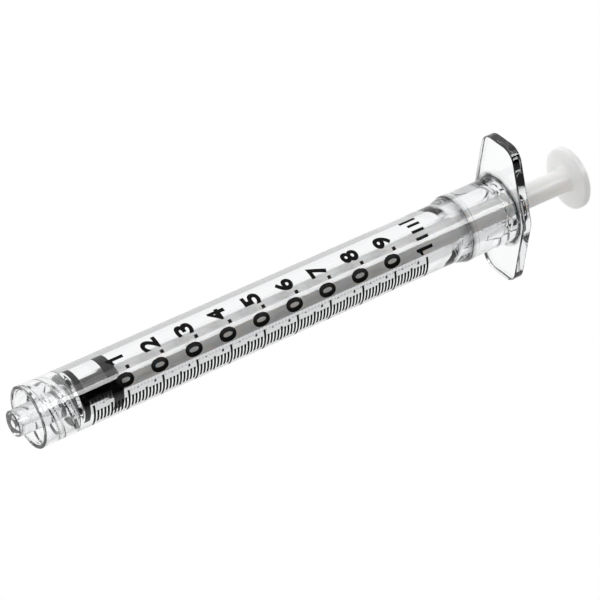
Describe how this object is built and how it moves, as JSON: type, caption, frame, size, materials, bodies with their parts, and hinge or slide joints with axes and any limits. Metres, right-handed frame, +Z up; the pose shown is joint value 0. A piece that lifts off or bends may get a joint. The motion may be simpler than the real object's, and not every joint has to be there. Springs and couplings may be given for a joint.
{
  "type": "oral syringe",
  "caption": "Slim clear 1 ml dosing syringe with a locking tip, printed scale, finger flange, rubber stopper and round plunger rod.",
  "frame": {"origin": "centre of the nozzle's front face, on the syringe's axis", "axes": "+X runs along the axis from the nozzle to the thumb disc; +Z is up, with the middle of the scale on top and one flat of the finger flange down, parallel to XY"},
  "size_m": [0.0986, 0.0242, 0.0122],
  "materials": {
    "clear_plastic": "polished clear polycarbonate",
    "ink": "matt black printing ink",
    "stopper_rubber": "smooth charcoal rubber with a silicone film",
    "rod_plastic": "satin off-white moulded plastic"
  },
  "bodies": {
    "barrel": {"barrel": "clear_plastic", "graduation_lines": "ink", "graduation_numerals": "ink", "unit_bars": "ink"},
    "stopper": {"stopper": "stopper_rubber"},
    "plunger": {"plunger_rod": "rod_plastic"}
  },
  "joints": [
    {"name": "stopper_slide", "type": "slide", "parent": "barrel", "child": "stopper", "axis": [1, 0, 0], "range_m": [0, 0.067]},
    {"name": "rod_turn", "type": "hinge", "parent": "stopper", "child": "plunger", "pos_m": [0.0134, 0, 0], "axis": [1, 0, 0], "continuous": true}
  ]
}
